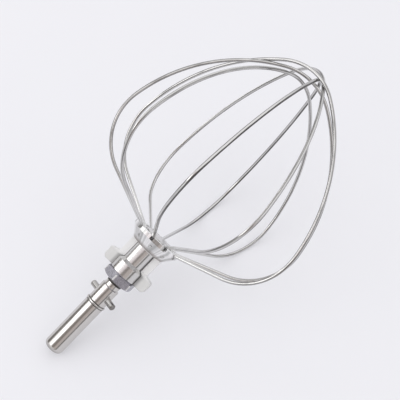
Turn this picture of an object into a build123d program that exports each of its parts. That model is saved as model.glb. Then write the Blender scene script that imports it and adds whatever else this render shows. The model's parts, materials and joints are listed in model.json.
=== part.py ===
"""Stand mixer wire whisk: drive shank, cross pin, lock nut, hub, wire plug and five wire loops.

Every piece is drawn about the whisk's own axis, with the free end of the shank at zero.
Each loop has been bent a little out of true, so it leans its own way.
The whole set is then laid down as it rests on a table: on the end of the shank and on
two neighbouring strands of wire, with the table at zero height.
All sizes are in millimetres and all angles in degrees.
"""

import os
from math import atan2, cos, hypot, pi, radians, sin, sqrt, tan

from build123d import *

# Drive shank, from its free end upwards
SHANK_D = 12.6
SHANK_END_ROUND = 3.0
BEAD_HEIGHT = 38.8
BEAD_D = 13.5
BEAD_WIDTH = 1.0
BEAD_GROOVE_WIDTH = 0.6
BEAD_GROOVE_DEPTH = 0.3
BEAD_ROUND = 0.3
COLLAR_D = 12.1
COLLAR_TOP = 52.0
COLLAR_CHAMFER = 0.4
NECK_D = 10.1
NECK_LENGTH = 4.0
STUD_D = 11.8
STUD_CHAMFER = 0.8
STUD_END_GAP = 0.4

# Drive pin pressed across the shank
PIN_D = 4.0
PIN_LENGTH = 24.6
PIN_HEIGHT = 44.9
PIN_CHAMFER = 0.5
PIN_AZIMUTH = 79.0
PIN_SEAT_D = 4.4
PIN_SEAT_PROUD = 0.15
PIN_HOLE_CLEARANCE = 0.02

# Lock nut on the threaded stud
NUT_FLATS = 19.0
NUT_HEIGHT = 5.6
NUT_BASE = 56.7
NUT_CHAMFER_ANGLE = 30.0
NUT_FACE_SHARE = 0.96
NUT_MOUTH_CHAMFER = 0.5
NUT_AZIMUTH = 15.0
THREAD_CLEARANCE = 0.05

# Hub, from the nut upwards
HUB_COLLAR_D = 19.4
HUB_COLLAR_HEIGHT = 7.4
HUB_FOOT_CHAMFER = 0.4
SHOULDER_HEIGHT = 1.9
BARREL_D = 14.6
BARREL_HEIGHT = 11.4
BOWL_FOOT_D = 23.4
BOWL_FOOT_RISE = 0.9
BOWL_HEIGHT = 6.7
CROWN_D = 34.0
CROWN_RIM = 2.5
CROWN_WALL = 2.0
RECESS_D = 26.4
RECESS_FLOOR_RISE = 2.4
STUD_BORE_DEPTH = 8.8
HUB_AZIMUTH = 108.0

# Finger grips at the foot of the hub and the webs above them
GRIP_SPAN = 33.6
GRIP_THICKNESS = 5.0
GRIP_FOOT_RISE = 0.1
GRIP_OUTER_TOP = 8.1
GRIP_INNER_TOP = 9.5
GRIP_FOOT_ROUND = 2.6
GRIP_TOP_ROUND = 1.3
GRIP_BEVEL = 0.4
WEB_SPAN = 22.8
WEB_THICKNESS = 3.6
WEB_SINK = 1.0

# Drain holes in the side of the bowl
DRAIN_D = 2.6
DRAIN_RISE = 3.6
DRAIN_SPACING = 40.0
DRAIN_TURN = 10.0

# Plug that holds the wire ends down in the crown
PLUG_D = 19.0
PLUG_ABOVE_RIM = 0.3
PLUG_NECK_D = 10.6
PLUG_STEM_D = 8.0
PLUG_STEM_LENGTH = 5.5
PLUG_STEM_END_GAP = 0.3
PLUG_EDGE_ROUND = 0.5
WIRE_CLEARANCE = 0.05

# Wire loops
WIRE_D = 2.2
NOTCH_CLEARANCE = 0.05
ENTRY_RADIUS = 13.4
ENTRY_BELOW_RIM = 1.0
RUN_ANGLE = 68.8
RUN_LENGTH = 35.9
BOW_RADIUS = 36.2
BOW_SWEEP = 77.7
FLANK_RADIUS = 122.9
TIP_RADIUS = 36.1
NEST_GAP = 0.1
HOOK_START_RADIUS = 9.0
HOOK_BEND = 2.0
HOOK_LEG = 0.5

# How each loop is bent: its tip's steps below the outermost tip, its lean in its own
# plane and its sway out of that plane
TIP_STEPS = (2, 0, 2, 3, 5)
LOOP_LEANS = (-0.1, 2.4, -1.9, -1.0, -0.1)
LOOP_SWAYS = (-2.1, 0.2, 5.8, -0.8, -1.0)

# Heights worked out from the sizes above
NUT_TOP = NUT_BASE + NUT_HEIGHT
HUB_BASE = NUT_TOP
HUB_COLLAR_TOP = HUB_BASE + HUB_COLLAR_HEIGHT
BARREL_BASE = HUB_COLLAR_TOP + SHOULDER_HEIGHT
BARREL_TOP = BARREL_BASE + BARREL_HEIGHT
BOWL_FOOT = BARREL_TOP + BOWL_FOOT_RISE
BOWL_TOP = BOWL_FOOT + BOWL_HEIGHT
CROWN_TOP = BOWL_TOP + CROWN_RIM
RECESS_FLOOR = BOWL_FOOT + RECESS_FLOOR_RISE
STUD_TOP = HUB_BASE + STUD_BORE_DEPTH - STUD_END_GAP
LOOP_COUNT = len(TIP_STEPS)
STRAND_PITCH = 180.0 / LOOP_COUNT
MOST_LEAN = max(abs(lean) for lean in LOOP_LEANS)
BOWL_SLOPE = BOWL_HEIGHT / (CROWN_D / 2 - BOWL_FOOT_D / 2)
ENTRY_HEIGHT = CROWN_TOP - ENTRY_BELOW_RIM


def turned(points):
    """A solid of revolution about the whisk's axis from (radius, height) corners."""
    outline = Polyline(*[(r, 0, h) for r, h in points], close=True)
    return revolve(make_face(outline), Axis.Z, 360)


def spot(radius, height, azimuth):
    """A point at a radius and height, seen at an angle round the whisk's axis."""
    return Vector(radius * cos(radians(azimuth)), radius * sin(radians(azimuth)), height)


def bisect(low, high, wanted):
    """The value between low and high where a rising function crosses zero."""
    for _ in range(50):
        middle = (low + high) / 2
        if wanted(middle) > 0:
            high = middle
        else:
            low = middle
    return (low + high) / 2


def make_shank():
    """The drive shank: rounded end, bead, collar with the pin hole, neck and threaded stud."""
    r = SHANK_D / 2
    groove_r = r - BEAD_GROOVE_DEPTH
    collar_r = COLLAR_D / 2
    low = BEAD_HEIGHT - BEAD_WIDTH / 2
    high = BEAD_HEIGHT + BEAD_WIDTH / 2
    neck_top = COLLAR_TOP + NECK_LENGTH
    body = turned([
        (0, 0),
        (r, 0),
        (r, low - BEAD_GROOVE_WIDTH),
        (groove_r, low - BEAD_GROOVE_WIDTH),
        (groove_r, low),
        (BEAD_D / 2, low),
        (BEAD_D / 2, high),
        (collar_r - BEAD_GROOVE_DEPTH, high),
        (collar_r - BEAD_GROOVE_DEPTH, high + BEAD_GROOVE_WIDTH),
        (collar_r, high + BEAD_GROOVE_WIDTH),
        (collar_r, COLLAR_TOP - COLLAR_CHAMFER),
        (collar_r - COLLAR_CHAMFER, COLLAR_TOP),
        (NECK_D / 2, COLLAR_TOP),
        (NECK_D / 2, neck_top),
        (STUD_D / 2, neck_top + (STUD_D - NECK_D) / 2),
        (STUD_D / 2, STUD_TOP - STUD_CHAMFER),
        (STUD_D / 2 - STUD_CHAMFER, STUD_TOP),
        (0, STUD_TOP),
    ])
    body = fillet(body.edges().sort_by(Axis.Z)[0], SHANK_END_ROUND)
    bead_edges = body.edges().filter_by(GeomType.CIRCLE).filter_by(
        lambda e: abs(e.radius - BEAD_D / 2) < 1e-6)
    body = fillet(bead_edges, BEAD_ROUND)
    hole = Cylinder(PIN_SEAT_D / 2 + PIN_HOLE_CLEARANCE / 2, SHANK_D * 2)
    return body - Pos(0, 0, PIN_HEIGHT) * Rot(0, 0, PIN_AZIMUTH) * Rot(0, 90, 0) * hole


def make_pin():
    """The drive pin: chamfered at both ends, with a slightly thicker seat where it is pressed in."""
    pin = Cylinder(PIN_D / 2, PIN_LENGTH)
    pin = chamfer(pin.edges().filter_by(GeomType.CIRCLE), PIN_CHAMFER)
    pin = pin + Cylinder(PIN_SEAT_D / 2, COLLAR_D + 2 * PIN_SEAT_PROUD)
    return Pos(0, 0, PIN_HEIGHT) * Rot(0, 0, PIN_AZIMUTH) * Rot(0, 90, 0) * pin


def make_nut():
    """A hexagon nut with both faces chamfered to a circle, bored for the stud."""
    corner = NUT_FLATS / 2 / cos(pi / 6)
    hexagon = Rot(0, 0, NUT_AZIMUTH) * RegularPolygon(corner, 6)
    nut = Pos(0, 0, NUT_BASE) * extrude(hexagon, NUT_HEIGHT)
    face_r = NUT_FLATS / 2 * NUT_FACE_SHARE
    drop = (corner + 1 - face_r) * tan(radians(NUT_CHAMFER_ANGLE))
    nut = nut & turned([
        (0, NUT_BASE),
        (face_r, NUT_BASE),
        (corner + 1, NUT_BASE + drop),
        (corner + 1, NUT_TOP - drop),
        (face_r, NUT_TOP),
        (0, NUT_TOP),
    ])
    bore = Cylinder(STUD_D / 2 + THREAD_CLEARANCE, NUT_HEIGHT * 3)
    nut = nut - Pos(0, 0, NUT_BASE) * bore
    mouths = nut.edges().filter_by(GeomType.CIRCLE).filter_by(
        lambda e: abs(e.radius - STUD_D / 2 - THREAD_CLEARANCE) < 1e-6)
    return chamfer(mouths, NUT_MOUTH_CHAMFER)


def make_grips():
    """Both finger grips as one bar, drawn across the axis and bevelled along its top."""
    half = GRIP_SPAN / 2
    foot = HUB_BASE + GRIP_FOOT_RISE
    outer = HUB_BASE + GRIP_OUTER_TOP
    inner = HUB_BASE + GRIP_INNER_TOP
    inner_x = WEB_SPAN / 2
    outline = Polyline(
        (-half, 0, foot),
        (half, 0, foot),
        (half, 0, outer),
        (inner_x, 0, inner),
        (-inner_x, 0, inner),
        (-half, 0, outer),
        close=True,
    )
    bar = extrude(make_face(outline), GRIP_THICKNESS / 2, dir=(0, 1, 0), both=True)
    ends = bar.edges().filter_by(Axis.Y).filter_by(lambda e: abs(abs(e.center().X) - half) < 1e-6)
    bar = fillet(ends.sort_by(Axis.Z)[:2], GRIP_FOOT_ROUND)
    ends = bar.edges().filter_by(Axis.Y).filter_by(lambda e: abs(abs(e.center().X) - half) < 1e-6)
    bar = fillet(ends.sort_by(Axis.Z)[-2:], GRIP_TOP_ROUND)
    rim = bar.edges().filter_by(
        lambda e: abs(abs(e.center().Y) - GRIP_THICKNESS / 2) < 1e-6 and e.center().Z > (foot + outer) / 2)
    return chamfer(rim.filter_by(GeomType.LINE).filter_by(
        lambda e: abs(e.tangent_at(0.5).X) > 0.5), GRIP_BEVEL)


def make_webs():
    """The flat web on each side of the barrel, from the grips into the foot of the bowl."""
    foot = HUB_BASE + HUB_COLLAR_HEIGHT / 2
    corner = hypot(WEB_SPAN / 2, WEB_THICKNESS / 2)
    under = BOWL_FOOT + max(0, corner - BOWL_FOOT_D / 2) * BOWL_SLOPE + WEB_SINK
    plate = Box(WEB_SPAN, WEB_THICKNESS, under - foot, align=(Align.CENTER, Align.CENTER, Align.MIN))
    return Pos(0, 0, foot) * plate


def wire_line_height(radius):
    """Height of a wire's centre line at a radius, on the straight run through the crown."""
    return ENTRY_HEIGHT + (radius - ENTRY_RADIUS) / tan(radians(RUN_ANGLE))


def loop_azimuth(k):
    """The angle round the axis at which a loop's first strand leaves the crown."""
    return STRAND_PITCH * (k + 0.5)


def loop_place(k):
    """How a loop leans and sways about the point on the axis where its two straight runs meet."""
    turn = Rot(0, 0, loop_azimuth(k))
    bent = Rot(-LOOP_SWAYS[k], LOOP_LEANS[k], 0)
    pivot = Pos(0, 0, wire_line_height(0))
    return pivot * turn * bent * turn.inverse() * pivot.inverse()


def make_notch(azimuth):
    """The slot one strand lies in: open at the top, with a level floor that the wire leaves at the recess wall."""
    r = WIRE_D / 2 + NOTCH_CLEARANCE
    inner_radius = HOOK_START_RADIUS - 1
    outer_radius = CROWN_D / 2 + 4
    wall_radius = RECESS_D / 2 - (ENTRY_HEIGHT - wire_line_height(0)) * sin(radians(MOST_LEAN))
    floor = wire_line_height(wall_radius) - r / sin(radians(RUN_ANGLE))
    tall = 3 * (CROWN_TOP - floor)
    slot = Box(outer_radius - inner_radius, 2 * r, tall, align=(Align.MIN, Align.CENTER, Align.MIN))
    return Rot(0, 0, azimuth) * Pos(inner_radius, 0, floor) * slot


def make_hub():
    """The hub: collar, barrel, bowl and crown in one, with grips, webs, notches and drains."""
    barrel_r = BARREL_D / 2
    crown_r = CROWN_D / 2
    foot_r = BOWL_FOOT_D / 2
    recess_r = RECESS_D / 2
    wall = CROWN_WALL * sqrt(1 + BOWL_SLOPE ** 2)
    inside = BOWL_FOOT + (recess_r - foot_r) * BOWL_SLOPE + wall
    floor_r = foot_r + (RECESS_FLOOR - BOWL_FOOT - wall) / BOWL_SLOPE
    stem_r = PLUG_STEM_D / 2
    stem_floor = RECESS_FLOOR - PLUG_STEM_LENGTH - PLUG_STEM_END_GAP
    bore_r = STUD_D / 2 + THREAD_CLEARANCE
    body = turned([
        (0, HUB_BASE),
        (HUB_COLLAR_D / 2 - HUB_FOOT_CHAMFER, HUB_BASE),
        (HUB_COLLAR_D / 2, HUB_BASE + HUB_FOOT_CHAMFER),
        (HUB_COLLAR_D / 2, HUB_COLLAR_TOP),
        (barrel_r, BARREL_BASE),
        (barrel_r, BARREL_TOP),
        (foot_r, BOWL_FOOT),
        (crown_r, BOWL_TOP),
        (crown_r, CROWN_TOP),
        (0, CROWN_TOP),
    ])
    hub = body + Rot(0, 0, HUB_AZIMUTH) * (make_grips() + make_webs())
    stud_bore = Cylinder(bore_r, 2 * STUD_BORE_DEPTH)
    cup = turned([
        (0, stem_floor),
        (stem_r, stem_floor),
        (stem_r, RECESS_FLOOR),
        (floor_r, RECESS_FLOOR),
        (recess_r, inside),
        (recess_r, CROWN_TOP + 1),
        (0, CROWN_TOP + 1),
    ])
    hub = hub - Pos(0, 0, HUB_BASE) * stud_bore
    hub = hub - cup
    drain_r = foot_r + DRAIN_RISE / BOWL_SLOPE
    normal = Vector(BOWL_SLOPE, 0, -1).normalized()
    seat = Plane(origin=Vector(drain_r, 0, BOWL_FOOT + DRAIN_RISE) + normal * 2, z_dir=-normal)
    drill = extrude(seat * Circle(DRAIN_D / 2), 2 + CROWN_WALL + 1.2)
    for side in (0, 180):
        for step in (-1, 0, 1):
            hub = hub - Rot(0, 0, HUB_AZIMUTH + 90 + side + DRAIN_TURN + step * DRAIN_SPACING) * drill
    for k in range(LOOP_COUNT):
        for side in (0, 180):
            hub = hub - loop_place(k) * make_notch(loop_azimuth(k) + side)
    return hub


def make_plug():
    """The plug: a stem in the hub, a neck between the wire ends and a head that holds them down."""
    head_r = PLUG_D / 2
    neck_r = PLUG_NECK_D / 2
    bend_r = HOOK_START_RADIUS
    steepest = radians(90 - RUN_ANGLE + MOST_LEAN)
    over_wires = wire_line_height(0) + WIRE_D / 2 / cos(steepest) + WIRE_CLEARANCE
    under_edge = over_wires + head_r * tan(steepest)
    under_neck = over_wires + bend_r * tan(steepest)
    top = CROWN_TOP + PLUG_ABOVE_RIM
    plug = turned([
        (0, RECESS_FLOOR - PLUG_STEM_LENGTH),
        (PLUG_STEM_D / 2, RECESS_FLOOR - PLUG_STEM_LENGTH),
        (PLUG_STEM_D / 2, RECESS_FLOOR),
        (neck_r, RECESS_FLOOR),
        (neck_r, under_neck),
        (bend_r, under_neck),
        (head_r, under_edge),
        (head_r, top),
        (0, top),
    ])
    return fillet(plug.edges().sort_by(Axis.Z)[-1], PLUG_EDGE_ROUND)


def bow_centre():
    """Centre of the bow arc in the plane of a loop, as (radius, height)."""
    a = radians(RUN_ANGLE)
    start_r = ENTRY_RADIUS + RUN_LENGTH * sin(a)
    start_h = ENTRY_HEIGHT + RUN_LENGTH * cos(a)
    return start_r - BOW_RADIUS * cos(a), start_h + BOW_RADIUS * sin(a)


def on_arc(centre, radius, heading):
    """The point of an arc where the wire heads at an angle from the axis, as (radius, height)."""
    return centre[0] + radius * cos(heading), centre[1] - radius * sin(heading)


def flank_centre(flank):
    """Centre of a flank arc of the given radius that carries on from the bow."""
    return on_arc(bow_centre(), BOW_RADIUS - flank, radians(RUN_ANGLE - BOW_SWEEP))


def tip_height(flank):
    """Height of a loop's tip when its flank arc has the given radius."""
    r, h = flank_centre(flank)
    return h + sqrt((flank - TIP_RADIUS) ** 2 - r * r) + TIP_RADIUS


def loop_half(flank):
    """Half a loop from its hooked end to the tip arc, as (start, middle, end) steps."""
    start = radians(RUN_ANGLE)
    bow_end = radians(RUN_ANGLE - BOW_SWEEP)
    bow = bow_centre()
    hook_start = (HOOK_START_RADIUS, wire_line_height(HOOK_START_RADIUS))
    hook = on_arc(hook_start, HOOK_BEND, start)
    hook_end = on_arc(hook, -HOOK_BEND, 0)
    side = flank_centre(flank)
    rise = tip_height(flank) - TIP_RADIUS - side[1]
    flank_end = -atan2(rise, -side[0])
    bow_start = on_arc(bow, BOW_RADIUS, start)
    bow_join = on_arc(bow, BOW_RADIUS, bow_end)
    return [
        ((hook_end[0], hook_end[1] - HOOK_LEG), None, hook_end),
        (hook_end, on_arc(hook, -HOOK_BEND, start / 2), hook_start),
        (hook_start, None, bow_start),
        (bow_start, on_arc(bow, BOW_RADIUS, (start + bow_end) / 2), bow_join),
        (bow_join, on_arc(side, flank, (bow_end + flank_end) / 2), on_arc(side, flank, flank_end)),
    ]


def make_loop(azimuth, flank):
    """One wire bent into a loop in a plane through the axis, both ends hooked in the crown."""
    half = loop_half(flank)
    edges = []
    for side in (azimuth, azimuth + 180):
        for start, middle, end in half:
            if middle is None:
                edges.append(Edge.make_line(spot(*start, side), spot(*end, side)))
            else:
                edges.append(Edge.make_three_point_arc(spot(*start, side), spot(*middle, side), spot(*end, side)))
    tip = spot(0, tip_height(flank), azimuth)
    tip_ends = [spot(*half[-1][2], side) for side in (azimuth, azimuth + 180)]
    edges.append(Edge.make_three_point_arc(tip_ends[0], tip, tip_ends[1]))
    section = Plane(origin=spot(*half[0][0], azimuth), z_dir=(0, 0, 1)) * Circle(WIRE_D / 2)
    return sweep(section, path=Wire(edges))


def laid(tilt, roll):
    """The whisk's place when its axis slopes up by the tilt and it is rolled round that axis."""
    return Rot(0, 90 - tilt, 0) * Rot(0, 0, roll)


def strand_low(place, k, side):
    """Lowest height of the bow of one strand at a place."""
    r, h = bow_centre()
    facing = loop_azimuth(k) + side
    spots = [spot(r, h, facing), spot(r + 1, h, facing), spot(r, h + 1, facing)]
    centre, out, up = [(place * loop_place(k) * Pos(*p)).position.Z for p in spots]
    return centre - BOW_RADIUS * hypot(out - centre, up - centre) - WIRE_D / 2


def rest_tilt(roll):
    """Slope of the axis when the shank's end and the lower of two neighbouring strands touch the table."""

    def gap(tilt):
        s = sin(radians(tilt))
        c = cos(radians(tilt))
        shank = SHANK_END_ROUND * s - (SHANK_D / 2 - SHANK_END_ROUND) * c - SHANK_END_ROUND
        place = laid(tilt, roll)
        return min(strand_low(place, 0, 0), strand_low(place, LOOP_COUNT - 1, 180)) - shank

    return bisect(0.0, 60.0, gap)


def rest_roll():
    """Roll at which both of the two lowest strands touch the table."""

    def imbalance(roll):
        place = laid(rest_tilt(roll), roll)
        return strand_low(place, 0, 0) - strand_low(place, LOOP_COUNT - 1, 180)

    return bisect(-STRAND_PITCH / 2, STRAND_PITCH / 2, imbalance)


def main():
    parts = {
        "shank": make_shank(),
        "cross_pin": make_pin(),
        "lock_nut": make_nut(),
        "hub": make_hub(),
        "wire_plug": make_plug(),
    }
    outer_tip = tip_height(FLANK_RADIUS)
    for k in range(LOOP_COUNT):
        tip = outer_tip - (WIRE_D + NEST_GAP) * TIP_STEPS[k]
        flank = bisect(FLANK_RADIUS * 0.6, FLANK_RADIUS, lambda radius: tip_height(radius) - tip)
        parts["wire_loop_%d" % (k + 1)] = loop_place(k) * make_loop(loop_azimuth(k), flank)
    roll = rest_roll()
    place = laid(rest_tilt(roll), roll)
    boxes = [(place * solid).bounding_box() for solid in parts.values()]
    middle_x = (min(b.min.X for b in boxes) + max(b.max.X for b in boxes)) / 2
    middle_y = (min(b.min.Y for b in boxes) + max(b.max.Y for b in boxes)) / 2
    table = min(b.min.Z for b in boxes)
    os.makedirs("parts", exist_ok=True)
    for name, solid in parts.items():
        export_step(Pos(-middle_x, -middle_y, -table) * place * solid, os.path.join("parts", name + ".step"))


main()
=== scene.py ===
"""Looks for a stand mixer wire whisk that lies on a pale table.

All lengths are metres, except in the finishes, which measure in millimetres.
Heights along the whisk are measured from the free end of its shank.
"""

import json
import math

import bpy
from mathutils import Matrix, Vector


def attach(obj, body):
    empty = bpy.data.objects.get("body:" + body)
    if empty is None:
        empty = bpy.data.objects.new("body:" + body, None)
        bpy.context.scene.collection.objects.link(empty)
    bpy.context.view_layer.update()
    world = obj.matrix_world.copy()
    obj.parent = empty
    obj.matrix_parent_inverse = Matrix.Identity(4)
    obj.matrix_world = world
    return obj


MM = 0.001

# Camera, as the photograph was taken
CAMERA_PLACE = Vector((-0.14292, -0.18826, 0.40181))
CAMERA_RIGHT = Vector((0.77308, -0.63429, -0.00350))
CAMERA_UP = Vector((0.51818, 0.62836, 0.58022))
CAMERA_NEAR, CAMERA_FAR = 0.01, 50.0
LENS = 63.0
SENSOR = 36.0
SHIFT_UP = -0.0075

# Heights along the whisk
SHANK_MOUNT_HEIGHT = 20.35 * MM
THREAD_FOOT = 54.9 * MM
RUN_MEET_HEIGHT = 86.9 * MM

# The last turns of the thread under the nut
THREAD_SIZES = {"Radius": 5.05 * MM, "Rise": 1.1 * MM, "Turns": 1.5, "Ridge": 0.2 * MM}
THREAD_POINTS = 48
RIDGE_SIDES = 6

# Shank, in millimetres: the span of painted shade at its free end, then each groove's foot, top and least
# share of its dirt and painted shade (the band under the nut is mostly painted shade)
END_SHADE_SPAN = 0.3, 3.0
GROOVES = ((37.7, 38.3, 0.5), (39.3, 39.9, 0.2), (54.6, 56.0, 0.94))
GROOVE_EDGE = 0.1

# Distances from the axis, in millimetres, where the pin turns dull and darker, and where the nut's
# corners get a painted highlight
PIN_DULL = 11.1, 12.0
NUT_CORNER_HIGHLIGHT = 10.45, 10.95

# Hub, in millimetres. The bowl's flare is the radius that it gains in each millimetre of height
HUB_COLLAR_TOP = 69.7
HUB_COLLAR_R = 9.7
GRIP_HALF = 2.5
GRIP_RISE = 2.6
BARREL_BASE = 71.6
BARREL_R = 7.3
WEB_HALF = 1.8
BOWL_FOOT = 83.9
BOWL_FOOT_R = 11.7
BOWL_FLARE = 0.79
CROWN_R = 17.0

# Painted shade beside a grip or web, in millimetres from its side
ROOT_SHADE_BAND = 0.1, 0.4, 1.6, 2.4

# Where each wire goes over from its pale run to its full streaks, in millimetres beyond the crown
WIRE_PALE = 6.0, 27.0

# Angles in degrees: the hub's turn from the table side, and each loop's turn, lean and sway
HUB_AZIMUTH = 108.0
LOOPS = (
    (18.0, -0.1, -2.1),
    (54.0, 2.4, 0.2),
    (90.0, -1.9, 5.8),
    (126.0, -1.0, -0.8),
    (162.0, -0.1, -1.0),
)

# Dark and pale tone of each finish
SHANK_TONES = (0.56, 0.54, 0.52, 1), (0.70, 0.68, 0.66, 1)
PIN_TONES = (0.34, 0.33, 0.32, 1), (0.54, 0.53, 0.52, 1)
NUT_TONES = (0.35, 0.347, 0.39, 1), (0.45, 0.444, 0.495, 1)
POLISHED_TONES = (0.60, 0.59, 0.58, 1), (0.70, 0.69, 0.68, 1)
SATIN_TONES = (0.62, 0.62, 0.615, 1), (0.76, 0.76, 0.75, 1)
# The bowl's wide range of tones paints reflection into its streaks
BOWL_TONES = (0.46, 0.46, 0.45, 1), (0.90, 0.89, 0.885, 1)
PLUG_TONES = (0.56, 0.55, 0.54, 1), (0.66, 0.65, 0.64, 1)
# The wire's near-black dark tone is for its painted reflection streaks
WIRE_TONES = (0.03, 0.028, 0.026, 1), (0.70, 0.69, 0.68, 1)
TABLE_TONES = (0.815, 0.815, 0.852, 1), (0.84, 0.84, 0.872, 1)

# Tones of single places on them
# Painted shade at the shank's free end
END_SHADE_TONE = (0.25, 0.235, 0.225, 1)
# Dirt in the grooves, and mostly painted shade in the band under the nut
GROOVE_DIRT_AND_SHADE_TONE = (0.045, 0.04, 0.035, 1)
PIN_END_TONE = (0.16, 0.15, 0.14, 1)
# Painted highlight on the nut's corners
CORNER_HIGHLIGHT_TONE = (0.92, 0.92, 0.92, 1)
# Painted shade on the grips near the collar
GRIP_FOOT_SHADE_TONE = (0.3, 0.3, 0.3, 1)
WEB_TONE = (0.93, 0.93, 0.935, 1)
# Painted shade beside the grips and webs
ROOT_SHADE_TONE = (0.04, 0.04, 0.04, 1)
# Painted shade at the bowl's foot
BOWL_FOOT_SHADE_TONE = (0.26, 0.23, 0.21, 1)
# Painted light inside the bowl and its notches
BOWL_INSIDE_LIGHT_TONE = (0.92, 0.92, 0.92, 1)
WIRE_PALE_TONE = (0.86, 0.86, 0.85, 1)

# Table
TABLE_HALF = 3.0
TABLE_GLOW = 0.38

# Room: its tones from the table's height upwards, and its near side, square to the whisk
ROOM_TONES = (0.60, 0.60, 0.62, 1), (1.0, 1.0, 1.01, 1)
ROOM_RISE = 0.0, 0.7
ROOM_STRENGTH = 1.2
ROOM_FRONT = Vector((-0.388, -0.453, 0.803))

# Duller strip of the room beside the window, measured along the whisk and round it.
# Its edge at the window is slanted, and goes through one place
STRIP_TONE = (0.80, 0.735, 0.75, 1)
STRIP_ALONG = -0.38, -0.32, -0.08, 0.0
STRIP_EDGE = -0.06, 0.06
STRIP_EDGE_ALONG = -0.272
STRIP_EDGE_AROUND = -0.26
STRIP_EDGE_SLANT = 4.33
STRIP_FAR_EDGE = 0.0, 0.2

# Dim patches of the room: direction, inner and outer half angle in degrees, tone
DIM_PATCHES = (
    ((-0.445, -0.697, 0.562), 13, 24, (0.52, 0.47, 0.455, 1)),
    ((-0.664, -0.379, 0.645), 10, 17, (0.25, 0.225, 0.21, 1)),
    ((-0.485, 0.797, 0.361), 12, 20, (0.21, 0.205, 0.20, 1)),
)

# Dark walls: one behind the whisk and a low one in front
BACK_WALL_TONE = (0.20, 0.19, 0.18, 1)
BACK_WALL_ACROSS = -0.65, -0.5, 0.3, 0.6
BACK_WALL_BACK = 0.3, 0.5
BACK_WALL_UP = 0.10, 0.20, 0.42, 0.54
LOW_WALL_TONE = (0.15, 0.14, 0.13, 1)
LOW_WALL_FRONT = 0.5, 0.8
LOW_WALL_UP = 0.03, 0.09, 0.18, 0.28

# Window: the direction that its light comes from, and the direction of its long side
WINDOW_FROM = Vector((-0.433, 0.723, 0.538))
WINDOW_RUN = Vector((0.564, 0.683, -0.465))
WINDOW_AIM = Vector((0.0, 0.0, 0.05))
WINDOW_DISTANCE = 1.6
WINDOW_LENGTH = 3.4
WINDOW_WIDTH = 0.27
WINDOW_POWER = 5.2

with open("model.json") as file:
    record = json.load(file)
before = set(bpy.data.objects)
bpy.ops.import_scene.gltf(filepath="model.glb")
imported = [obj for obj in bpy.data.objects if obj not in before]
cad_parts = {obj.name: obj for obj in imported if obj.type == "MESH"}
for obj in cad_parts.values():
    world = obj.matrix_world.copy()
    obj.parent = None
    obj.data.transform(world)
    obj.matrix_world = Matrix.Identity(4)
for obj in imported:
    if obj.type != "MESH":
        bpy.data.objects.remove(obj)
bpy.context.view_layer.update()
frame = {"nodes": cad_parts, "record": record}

# The whisk's own frame: table side, left side and axis
shank_mount = next(mount for mount in frame["record"]["mounts"] if mount["name"] == "shank")
AXIS = -Vector(shank_mount["axis"]).normalized()
TABLE_SIDE = Vector((AXIS.z, 0.0, -AXIS.x)).normalized()
LEFT_SIDE = AXIS.cross(TABLE_SIDE)
SHANK_END = Vector(shank_mount["pos_m"]) - AXIS * SHANK_MOUNT_HEIGHT
WHISK = Matrix((TABLE_SIDE, LEFT_SIDE, AXIS)).transposed().to_4x4()
WHISK.translation = SHANK_END


class Sock:
    """A shader socket. Sums on it add Math nodes to its recipe."""

    def __init__(self, recipe, made, socket):
        self.recipe = recipe
        self.made = made
        self.socket = socket

    def out(self, name):
        """Another output of the same node."""
        return Sock(self.recipe, self.made, self.made.outputs[name])

    def math(self, operation, *values):
        return self.recipe.node("ShaderNodeMath", {"operation": operation}, dict(enumerate(values)))

    def __add__(self, other):
        return self.math("ADD", self, other)

    def __radd__(self, other):
        return self.math("ADD", other, self)

    def __sub__(self, other):
        return self.math("SUBTRACT", self, other)

    def __rsub__(self, other):
        return self.math("SUBTRACT", other, self)

    def __mul__(self, other):
        return self.math("MULTIPLY", self, other)

    def __rmul__(self, other):
        return self.math("MULTIPLY", other, self)

    def __pow__(self, other):
        return self.math("POWER", self, other)

    def __abs__(self):
        return self.math("ABSOLUTE", self)

    def least(self, other):
        return self.math("MINIMUM", self, other)

    def angle(self, across):
        """The angle, in radians, of a point that is this far up and so far across."""
        return self.math("ARCTAN2", self, across)

    def ramp(self, low, high):
        """Goes straight from 0 at low to 1 at high."""
        values = {"Value": self, "From Min": low, "From Max": high}
        return self.recipe.node("ShaderNodeMapRange", inputs=values)

    def step(self, low, high):
        """Goes smoothly from 0 at low to 1 at high."""
        values = {"Value": self, "From Min": low, "From Max": high}
        return self.recipe.node("ShaderNodeMapRange", {"interpolation_type": "SMOOTHSTEP"}, values)

    def band(self, start, full, wane, end):
        """Is 1 from full to wane, and 0 before start and after end."""
        return self.step(start, full) * (1 - self.step(wane, end))


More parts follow.
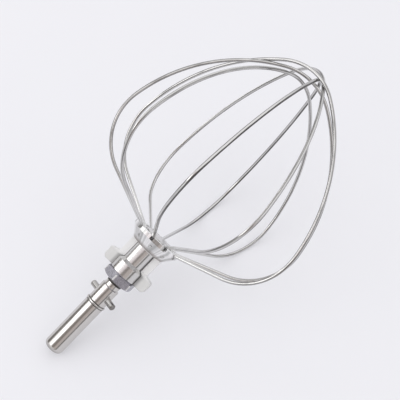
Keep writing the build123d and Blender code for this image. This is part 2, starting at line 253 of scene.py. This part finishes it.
class Recipe:
    """The nodes of one material or of the world."""

    def __init__(self, owner):
        owner.use_nodes = True
        self.owner = owner
        self.tree = owner.node_tree
        self.tree.nodes.clear()

    def node(self, kind, settings=None, inputs=None, output=0):
        """One new node, with its settings and the values or links of its sockets."""
        made = self.tree.nodes.new(kind)
        for name, value in (settings or {}).items():
            setattr(made, name, value)
        for name, value in (inputs or {}).items():
            if isinstance(value, Sock):
                self.tree.links.new(value.socket, made.inputs[name])
            else:
                made.inputs[name].default_value = value
        return Sock(self, made, made.outputs[output] if made.outputs else None)

    def blend(self, share, first, second):
        """One colour going over to another."""
        values = {0: share, 6: first, 7: second}
        return self.node("ShaderNodeMix", {"data_type": "RGBA"}, values, output=2)

    def dot(self, vector, direction):
        values = {0: vector, 1: direction}
        return self.node("ShaderNodeVectorMath", {"operation": "DOT_PRODUCT"}, values, output="Value")

    def place(self, location, rotation):
        """Object coordinates seen from a frame with that origin and turn, in millimetres."""
        where = self.node("ShaderNodeTexCoord").out("Object")
        values = {"Vector": where, "Location": location, "Rotation": rotation, "Scale": (MM, MM, MM)}
        return self.node("ShaderNodeMapping", {"vector_type": "TEXTURE"}, values)

    def split(self, vector):
        parts = self.node("ShaderNodeSeparateXYZ", inputs={0: vector})
        return parts.out("X"), parts.out("Y"), parts.out("Z")

    def join(self, x, y, z):
        return self.node("ShaderNodeCombineXYZ", inputs={0: x, 1: y, 2: z})

    def lines(self, along, scale, detail, roughness):
        """Irregular lines across a direction."""
        values = {"W": along, "Scale": scale, "Detail": detail, "Roughness": roughness}
        return self.node("ShaderNodeTexNoise", {"noise_dimensions": "1D"}, values)

    def cloud(self, vector, scale, detail=3.0, roughness=0.55):
        """Irregular patches."""
        values = {"Vector": vector, "Scale": scale, "Detail": detail, "Roughness": roughness}
        return self.node("ShaderNodeTexNoise", {"noise_dimensions": "3D"}, values)

    def bump(self, height, distance, strength):
        values = {"Height": height, "Distance": distance, "Strength": strength}
        return self.node("ShaderNodeBump", inputs=values)

    def metal(self, colour, roughness, normal, metallic=1.0):
        """Ends the recipe in a metal, and gives back its material."""
        values = {"Base Color": colour, "Roughness": roughness, "Normal": normal, "Metallic": metallic}
        shader = self.node("ShaderNodeBsdfPrincipled", inputs=values)
        self.node("ShaderNodeOutputMaterial", inputs={"Surface": shader})
        return self.owner


def start_finish(name, origin, turn):
    """A new material's recipe, and places on the piece in a frame with that origin and turn."""
    recipe = Recipe(bpy.data.materials.new(name))
    return recipe, recipe.place(origin, turn.to_euler())


def off_axis(x, y):
    """Distance from the whisk's axis."""
    return (x * x + y * y) ** 0.5


def shank_steel(name):
    """Bright turned bar: fine rings round the axis, faint rubs along it, dirt and painted shade in its
    grooves, and painted shade at its free end.
    """
    steel, where = start_finish(name, SHANK_END, WHISK)
    x, y, z = steel.split(where)
    rings = steel.lines(z, scale=6.0, detail=5.0, roughness=0.7)
    rubs = steel.cloud(steel.join(x * 1.4, y * 1.4, z * 0.09), scale=1.6, detail=4.0)
    smudge = steel.cloud(where, scale=0.12, detail=2.0)
    stain = steel.cloud(where, scale=0.3, detail=2.0).step(0.35, 0.55)
    # Painted shade at the free end
    end_shade = (1 - z.step(*END_SHADE_SPAN)) * 0.65
    colour = steel.blend(rings * 0.6 + smudge * 0.4, *SHANK_TONES)
    colour = steel.blend(end_shade, colour, END_SHADE_TONE)
    rough = 0.15 + (rings - 0.5) * 0.12 + rubs.step(0.55, 0.75) * 0.08 + (smudge - 0.5) * 0.06
    metallic = 1.0
    # Grooves darkened by dirt, and mostly by painted shade in the band under the nut
    for foot, top, least_dirt_and_shade in GROOVES:
        sunk = z.band(foot - GROOVE_EDGE, foot + GROOVE_EDGE, top - GROOVE_EDGE, top + GROOVE_EDGE)
        dirt_and_shade = sunk * (least_dirt_and_shade + stain * (1 - least_dirt_and_shade))
        colour = steel.blend(dirt_and_shade, colour, GROOVE_DIRT_AND_SHADE_TONE)
        rough = rough + dirt_and_shade * 0.3
        metallic = metallic - dirt_and_shade
    marks = steel.bump(rings * 0.7 + rubs * 0.3, distance=0.006 * MM, strength=0.6)
    return steel.metal(colour, rough, marks, metallic)


def pin_steel(name):
    """Drawn pin: lines along it, duller and darker at its chamfered ends."""
    steel, where = start_finish(name, SHANK_END, WHISK)
    x, y, z = steel.split(where)
    lines = steel.lines(z, scale=4.0, detail=5.0, roughness=0.7)
    smudge = steel.cloud(where, scale=0.5, detail=2.0)
    dull = off_axis(x, y).step(*PIN_DULL) * 0.7
    colour = steel.blend(lines * 0.6 + smudge * 0.4, *PIN_TONES)
    colour = steel.blend(dull, colour, PIN_END_TONE)
    rough = 0.20 + (lines - 0.5) * 0.12 + dull * 0.15
    return steel.metal(colour, rough, steel.bump(lines, distance=0.006 * MM, strength=0.6))


def nut_steel(name):
    """Plain nut: dull violet-grey flats, with a painted highlight along its corners."""
    steel, where = start_finish(name, SHANK_END, WHISK)
    x, y, z = steel.split(where)
    grain = steel.cloud(steel.join(x * 3.0, y * 3.0, z * 0.5), scale=2.2, detail=4.0, roughness=0.65)
    patch = steel.cloud(where, scale=0.5)
    # Painted highlight along the nut's corners
    corner_highlight = off_axis(x, y).step(*NUT_CORNER_HIGHLIGHT) * (0.55 + patch * 0.6)
    colour = steel.blend(patch.step(0.3, 0.7), *NUT_TONES)
    colour = steel.blend(corner_highlight, colour, CORNER_HIGHLIGHT_TONE)
    rough = 0.27 + (grain - 0.5) * 0.16 - corner_highlight * 0.05
    marks = steel.bump(grain, distance=0.01 * MM, strength=0.5)
    return steel.metal(colour, rough, marks, metallic=1 - corner_highlight * 0.6)


def hub_steel(name):
    """Hub: polished where it is turned, satin on the ground grips and webs, with painted shade along
    their roots and at the grips' foot.
    """
    turn = Matrix.Rotation(math.radians(HUB_AZIMUTH), 4, "Z")
    steel, where = start_finish(name, SHANK_END, WHISK @ turn)
    x, y, z = steel.split(where)
    from_axis = off_axis(x, y)
    below_bowl = 1 - z.step(BOWL_FOOT - 0.5, BOWL_FOOT + 0.2)

    # The grips stand out of the turned collar, and the webs out of the barrel
    risen = z.ramp(HUB_COLLAR_TOP, BARREL_BASE)
    stands_out = from_axis - (HUB_COLLAR_R - risen * (HUB_COLLAR_R - BARREL_R))
    ground = stands_out.step(0.03, 0.09) * below_bowl
    # Painted shade on the grips near the collar
    grip_foot_shade = (1 - stands_out.step(0.0, GRIP_RISE)) * (1 - risen) * ground
    # Painted shade in a line beside each grip and web
    beside = abs(y) - GRIP_HALF + risen * (GRIP_HALF - WEB_HALF)
    root = beside.band(*ROOT_SHADE_BAND) * (1 - ground) * below_bowl

    # The bowl has painted shade at its foot, and painted light inside it and in its notches
    bowl_foot_shade = 1 - z.step(BOWL_FOOT + 0.3, BOWL_FOOT + 2.6)
    bowl_radius = (BOWL_FOOT_R + (z - BOWL_FOOT) * BOWL_FLARE).least(CROWN_R)
    # Painted light: pale and less metallic inside the bowl and its notches
    inside = (bowl_radius - from_axis).step(0.1, 0.4) * (1 - below_bowl)

    rings = steel.lines(z, scale=5.0, detail=5.0, roughness=0.7)
    brushing = steel.cloud(steel.join(x * 0.3, y * 2.0, z * 4.0), scale=1.4, detail=4.0, roughness=0.65)
    # Polish streaks round the bowl, whose strong bright and dark tones are painted reflection
    streaks = steel.lines(y.angle(x) * 3.0, scale=1.0, detail=3.0, roughness=0.55)
    patch = steel.cloud(where, scale=0.25)
    marks = rings * (1 - ground) + brushing * ground

    polished = steel.blend(rings, *POLISHED_TONES)
    satin = steel.blend(brushing * 0.6 + patch * 0.4, *SATIN_TONES)
    satin = steel.blend(risen * 0.6, satin, WEB_TONE)
    bowl = steel.blend(streaks.step(0.33, 0.67), *BOWL_TONES)
    bowl = steel.blend(bowl_foot_shade * 0.75, bowl, BOWL_FOOT_SHADE_TONE)
    bowl = steel.blend(inside, bowl, BOWL_INSIDE_LIGHT_TONE)
    colour = steel.blend(below_bowl, bowl, steel.blend(ground, polished, satin))
    colour = steel.blend(grip_foot_shade * 0.8, colour, GRIP_FOOT_SHADE_TONE)
    colour = steel.blend(root * 0.9, colour, ROOT_SHADE_TONE)
    rough = 0.16 + ground * 0.36 + root * 0.3 + (marks - 0.5) * 0.12 + (patch - 0.5) * 0.08
    metallic = 1 - ground * 0.65 - root * 0.9 - inside * 0.6
    return steel.metal(colour, rough, steel.bump(marks, distance=0.008 * MM, strength=0.6), metallic)


def plug_steel(name):
    """Plug: a faced top with rings round its centre."""
    steel, where = start_finish(name, SHANK_END, WHISK)
    x, y, z = steel.split(where)
    rings = steel.lines(off_axis(x, y) + z * 0.6, scale=6.0, detail=4.0, roughness=0.7)
    patch = steel.cloud(where, scale=0.3)
    colour = steel.blend(rings, *PLUG_TONES)
    rough = 0.24 + (rings - 0.5) * 0.14 + (patch - 0.5) * 0.08
    return steel.metal(colour, rough, steel.bump(rings, distance=0.008 * MM, strength=0.6))


def wire_steel(name, azimuth, lean, sway):
    """Drawn wire: die lines and painted reflection streaks along the wire, which keep their distance from
    the loop's own plane.
    """
    pivot = WHISK @ Vector((0, 0, RUN_MEET_HEIGHT))
    turn = Matrix.Rotation(math.radians(azimuth), 3, "Z")
    bent = Matrix.Rotation(math.radians(-sway), 3, "X") @ Matrix.Rotation(math.radians(lean), 3, "Y")
    steel, where = start_finish(name, pivot, WHISK.to_3x3() @ turn @ bent)
    from_plane, beyond_crown = steel.split(where)[1:]
    die_lines = steel.lines(from_plane, scale=3.2, detail=4.0, roughness=0.7)
    shade = steel.cloud(where, scale=0.06)
    specks = steel.cloud(where, scale=1.8)
    # Painted reflection: dark and pale streaks along the wire
    streaks = steel.lines(from_plane + shade * 0.8, scale=0.9, detail=2.0, roughness=0.5).step(0.44, 0.58)
    pale = (1 - beyond_crown.step(*WIRE_PALE)) * 0.55
    colour = steel.blend(streaks * 0.7 + die_lines * 0.2 + shade * 0.1, *WIRE_TONES)
    colour = steel.blend(pale, colour, WIRE_PALE_TONE)
    rough = 0.11 + (die_lines - 0.5) * 0.08 + specks.step(0.58, 0.75) * 0.06 + (shade - 0.5) * 0.04
    marks = steel.bump(die_lines * 0.8 + specks * 0.2, distance=0.004 * MM, strength=0.5)
    return steel.metal(colour, rough, marks)


def table_paint(name):
    """Pale table with a barely uneven tone. It glows a little where it is seen, so its shade is light."""
    coat = Recipe(bpy.data.materials.new(name))
    where = coat.node("ShaderNodeTexCoord").out("Object")
    colour = coat.blend(coat.cloud(where, scale=5.0, detail=2.0), *TABLE_TONES)
    values = {"Base Color": colour, "Roughness": 0.75, "Specular IOR Level": 0.2}
    paint = coat.node("ShaderNodeBsdfPrincipled", inputs=values)
    glow = coat.node("ShaderNodeEmission", inputs={"Color": colour, "Strength": 1.0})
    ray = coat.node("ShaderNodeLightPath")
    seen = ray.out("Is Camera Ray") + ray.out("Is Glossy Ray")
    shader = coat.node("ShaderNodeMixShader", inputs={0: seen * TABLE_GLOW, 1: paint, 2: glow})
    coat.node("ShaderNodeOutputMaterial", inputs={"Surface": shader})
    return coat.owner


def thread_tree(material):
    """Geometry nodes for a screw thread: a ridge that winds round a stud."""
    tree = bpy.data.node_groups.new("thread", "GeometryNodeTree")
    tree.interface.new_socket("Geometry", in_out="OUTPUT", socket_type="NodeSocketGeometry")
    for name, value in THREAD_SIZES.items():
        socket = tree.interface.new_socket(name, in_out="INPUT", socket_type="NodeSocketFloat")
        socket.default_value = value

    def add(kind, **inputs):
        made = tree.nodes.new(kind)
        for name, value in inputs.items():
            socket = made.inputs[name.replace("_", " ")]
            if isinstance(value, bpy.types.NodeSocket):
                tree.links.new(value, socket)
            else:
                socket.default_value = value
        return made

    given = tree.nodes.new("NodeGroupInput").outputs
    spiral = add(
        "GeometryNodeCurveSpiral",
        Resolution=THREAD_POINTS,
        Rotations=given["Turns"],
        Start_Radius=given["Radius"],
        End_Radius=given["Radius"],
        Height=given["Rise"],
    )
    ridge = add("GeometryNodeCurvePrimitiveCircle", Resolution=RIDGE_SIDES, Radius=given["Ridge"])
    wound = add(
        "GeometryNodeCurveToMesh",
        Curve=spiral.outputs[0],
        Profile_Curve=ridge.outputs[0],
        Fill_Caps=True,
    )
    whole = add("GeometryNodeRealizeInstances", Geometry=wound.outputs[0])
    painted = add("GeometryNodeSetMaterial", Geometry=whole.outputs[0], Material=material)
    end = tree.nodes.new("NodeGroupOutput")
    tree.links.new(painted.outputs[0], end.inputs[0])
    return tree


def put_in_scene(name, data):
    """A new object that holds a mesh, a light or a camera."""
    made = bpy.data.objects.new(name, data)
    bpy.context.scene.collection.objects.link(made)
    return made


def made_mesh(name, tree, place):
    """The result of a geometry node tree as a plain mesh object, with its place in its mesh."""
    maker = put_in_scene(name + "_maker", bpy.data.meshes.new(name + "_maker"))
    maker.modifiers.new("maker", "NODES").node_group = tree
    shaped = maker.evaluated_get(bpy.context.evaluated_depsgraph_get())
    mesh = bpy.data.meshes.new_from_object(shaped)
    bpy.data.objects.remove(maker)
    mesh.transform(place)
    mesh.name = name
    return put_in_scene(name, mesh)


def dress(node, material):
    """Gives a CAD node its finish."""
    mesh = frame["nodes"][node].data
    mesh.materials.clear()
    mesh.materials.append(material)


def stand(place, right, up, back):
    """Where an object stands, with the directions of its three axes."""
    return Matrix.Translation(place) @ Matrix((right, up, back)).transposed().to_4x4()


def make_camera():
    """A camera at the photograph's viewing angle."""
    data = bpy.data.cameras.new("camera")
    data.lens = LENS
    data.sensor_width = SENSOR
    data.shift_y = SHIFT_UP
    data.clip_start = CAMERA_NEAR
    data.clip_end = CAMERA_FAR
    camera = put_in_scene("camera", data)
    camera.matrix_world = stand(CAMERA_PLACE, CAMERA_RIGHT, CAMERA_UP, CAMERA_RIGHT.cross(CAMERA_UP))
    bpy.context.scene.camera = camera


def make_table():
    """A flat table top under the whisk."""
    half = TABLE_HALF
    corners = [(-half, -half, 0), (half, -half, 0), (half, half, 0), (-half, half, 0)]
    mesh = bpy.data.meshes.new("table")
    mesh.from_pydata(corners, [], [(0, 1, 2, 3)])
    mesh.materials.append(table_paint("table_paint"))
    table = put_in_scene("table", mesh)


def make_room():
    """A pale room for the steel to mirror, with a dull strip, dim patches and two dark walls."""
    world = bpy.data.worlds.new("studio")
    bpy.context.scene.world = world
    room = Recipe(world)
    towards = room.node("ShaderNodeTexCoord").out("Generated")
    x, y, z = room.split(towards)
    colour = room.blend(z.step(*ROOM_RISE), *ROOM_TONES)

    along = room.dot(towards, AXIS)
    around = room.dot(towards, AXIS.cross(ROOM_FRONT)).angle(room.dot(towards, ROOM_FRONT))
    past_edge = around - STRIP_EDGE_AROUND + (along - STRIP_EDGE_ALONG) * STRIP_EDGE_SLANT
    strip = past_edge.step(*STRIP_EDGE) * (1 - around.step(*STRIP_FAR_EDGE)) * along.band(*STRIP_ALONG)
    colour = room.blend(strip, colour, STRIP_TONE)

    for direction, inner, outer, tone in DIM_PATCHES:
        aim = room.dot(towards, Vector(direction).normalized())
        dim = aim.step(math.cos(math.radians(outer)), math.cos(math.radians(inner)))
        colour = room.blend(dim, colour, tone)

    back_wall = x.band(*BACK_WALL_ACROSS) * y.step(*BACK_WALL_BACK) * z.band(*BACK_WALL_UP)
    colour = room.blend(back_wall, colour, BACK_WALL_TONE)
    low_wall = (0 - y).step(*LOW_WALL_FRONT) * z.band(*LOW_WALL_UP)
    colour = room.blend(low_wall, colour, LOW_WALL_TONE)

    shader = room.node("ShaderNodeBackground", inputs={"Color": colour, "Strength": ROOM_STRENGTH})
    room.node("ShaderNodeOutputWorld", inputs={"Surface": shader})


def make_window():
    """A long soft light that shines at the whisk."""
    light = bpy.data.lights.new("window", "AREA")
    light.shape = "RECTANGLE"
    light.size = WINDOW_LENGTH
    light.size_y = WINDOW_WIDTH
    light.energy = WINDOW_POWER
    back = WINDOW_FROM.normalized()
    across = back.cross(WINDOW_RUN).normalized()
    window = put_in_scene("window", light)
    window.matrix_world = stand(WINDOW_AIM + back * WINDOW_DISTANCE, across.cross(back), across, back)


make_camera()
make_table()
make_room()
make_window()

shank_finish = shank_steel("shank_steel")
dress("shank", shank_finish)
dress("cross_pin", pin_steel("pin_steel"))
dress("lock_nut", nut_steel("nut_steel"))
dress("hub", hub_steel("hub_steel"))
dress("wire_plug", plug_steel("plug_steel"))
for number, (azimuth, lean, sway) in enumerate(LOOPS, 1):
    name = "wire_loop_%d" % number
    dress(name, wire_steel(name + "_steel", azimuth, lean, sway))

thread_place = WHISK @ Matrix.Translation((0, 0, THREAD_FOOT))
thread = made_mesh("stud_thread", thread_tree(shank_finish), thread_place)
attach(thread, "root")

bpy.context.scene.view_settings.view_transform = "Standard"
